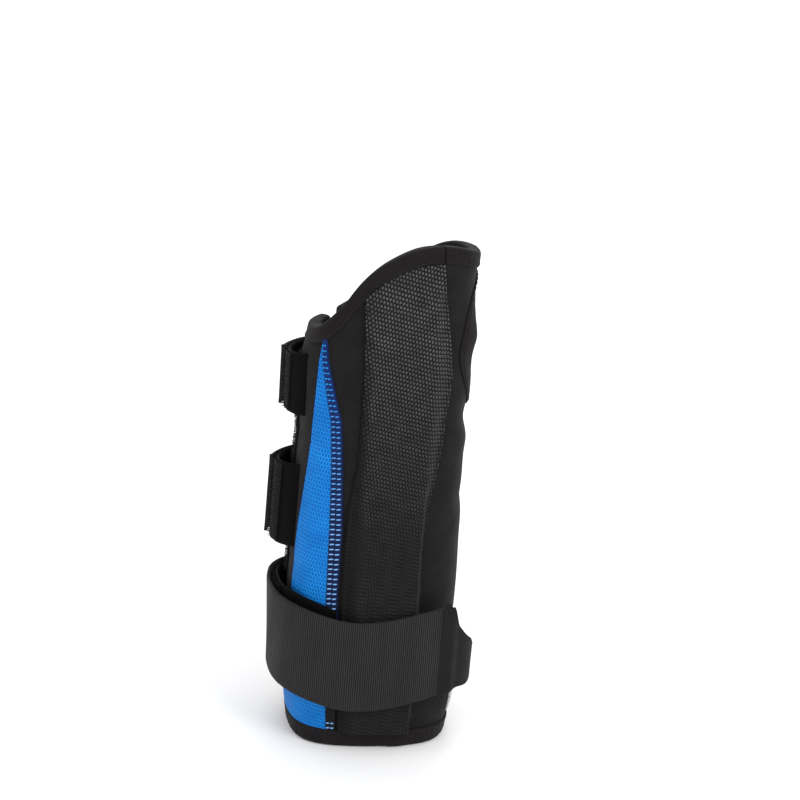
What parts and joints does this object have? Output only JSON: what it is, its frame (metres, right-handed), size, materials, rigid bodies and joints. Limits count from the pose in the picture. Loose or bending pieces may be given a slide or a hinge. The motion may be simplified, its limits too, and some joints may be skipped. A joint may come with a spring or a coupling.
{
  "type": "wrist splint",
  "caption": "Black wrist splint for a right hand: open padded cuff with a thumb hole, a palm stay pocket, back stays, three hook and loop straps and a blue mesh insert.",
  "frame": {"origin": "middle of the forearm opening, on the plane the forearm rim stands on", "axes": "+Z from the forearm rim to the fingers, -Y the palm side, +X the thumb side of a right wrist"},
  "size_m": [0.0991, 0.0784, 0.2384],
  "materials": {
    "shell_fabric": "matte black neoprene laminate",
    "lining": "brushed charcoal loop lining",
    "binding": "folded black edge tape with a faint purple cast",
    "mesh": "bright blue spacer mesh",
    "cover_seam": "navy seam tape with light blue ladder stitches",
    "hook": "black hook tape",
    "pocket": "coarse dark grey woven pocket cloth",
    "webbing": "ribbed black elastic webbing",
    "loop_webbing": "smooth black webbing",
    "stay": "satin, deburred",
    "stay_cap": "black vinyl dip",
    "label": "blank grey woven label"
  },
  "bodies": {
    "palmar_cuff": {"palmar_shell": "shell_fabric", "palmar_liner": "lining", "palmar_base_binding": "binding", "palmar_top_binding": "binding", "palmar_thumb_binding": "binding", "palmar_edge_binding": "binding", "ulnar_mesh_insert": "mesh", "mesh_cover_seam": "cover_seam", "ulnar_hook_strip": "hook", "care_label": "label", "palmar_pocket_backing": "shell_fabric", "palmar_pocket_cover": "pocket", "hand_tab_loop": "loop_webbing", "hand_tab_hook": "hook", "wrist_tab_loop": "loop_webbing", "wrist_tab_hook": "hook", "forearm_tab_loop": "loop_webbing", "forearm_tab_hook": "hook"},
    "palmar_stay": {"palmar_stay": "stay", "palmar_stay_lower_cap": "stay_cap", "palmar_stay_upper_cap": "stay_cap"},
    "dorsal_flap": {"dorsal_shell": "shell_fabric", "dorsal_liner": "lining", "dorsal_base_binding": "binding", "dorsal_top_binding": "binding", "dorsal_thumb_binding": "binding", "dorsal_edge_binding": "binding", "dorsal_radial_pocket": "shell_fabric", "dorsal_centre_pocket": "shell_fabric", "hand_strap_anchor": "webbing", "wrist_strap_anchor": "webbing", "forearm_strap_back": "webbing"},
    "dorsal_radial_stay": {"dorsal_radial_stay": "stay", "dorsal_radial_stay_caps": "stay_cap"},
    "dorsal_centre_stay": {"dorsal_centre_stay": "stay", "dorsal_centre_stay_caps": "stay_cap"},
    "hand_strap": {"hand_strap": "webbing"},
    "wrist_strap": {"wrist_strap": "webbing"},
    "forearm_strap": {"forearm_strap_front": "webbing"},
    "forearm_tab": {"forearm_strap_tab": "webbing", "forearm_tab_patch": "hook"}
  },
  "joints": [
    {"name": "flap_hinge", "type": "hinge", "parent": "palmar_cuff", "child": "dorsal_flap", "pos_m": [0.041, -0.003, 0.12], "axis": [0, 0, -1], "range_deg": [0, 60]},
    {"name": "hand_strap_peel", "type": "hinge", "parent": "dorsal_flap", "child": "hand_strap", "pos_m": [0.02967, 0.01843, 0.1715], "axis": [0.0018, 0.0759, -0.9971], "range_deg": [0, 100]},
    {"name": "wrist_strap_peel", "type": "hinge", "parent": "dorsal_flap", "child": "wrist_strap", "pos_m": [0.03027, 0.02286, 0.11325], "axis": [0.0181, 0.0759, -0.997], "range_deg": [0, 100]},
    {"name": "forearm_strap_swing", "type": "hinge", "parent": "dorsal_flap", "child": "forearm_strap", "pos_m": [-0.04879, -0.00138, 0.053], "axis": [0.0252, 0.0425, -0.9988], "range_deg": [0, 150]},
    {"name": "forearm_tab_peel", "type": "hinge", "parent": "forearm_strap", "child": "forearm_tab", "pos_m": [0.0347, -0.03759, 0.053], "axis": [-0.0176, 0.0051, -0.9998], "range_deg": [0, 70]},
    {"name": "palmar_stay_slide", "type": "slide", "parent": "palmar_cuff", "child": "palmar_stay", "axis": [0, 0, -1], "range_m": [0, 0.215]},
    {"name": "dorsal_radial_stay_slide", "type": "slide", "parent": "dorsal_flap", "child": "dorsal_radial_stay", "axis": [0.0001, 0.0811, -0.9967], "range_m": [0, 0.195]},
    {"name": "dorsal_centre_stay_slide", "type": "slide", "parent": "dorsal_flap", "child": "dorsal_centre_stay", "axis": [0, 0.0828, -0.9966], "range_m": [0, 0.195]}
  ],
  "couplings": [
    {"joint": "forearm_strap_swing", "follows": "flap_hinge", "ratio": 2.5}
  ]
}
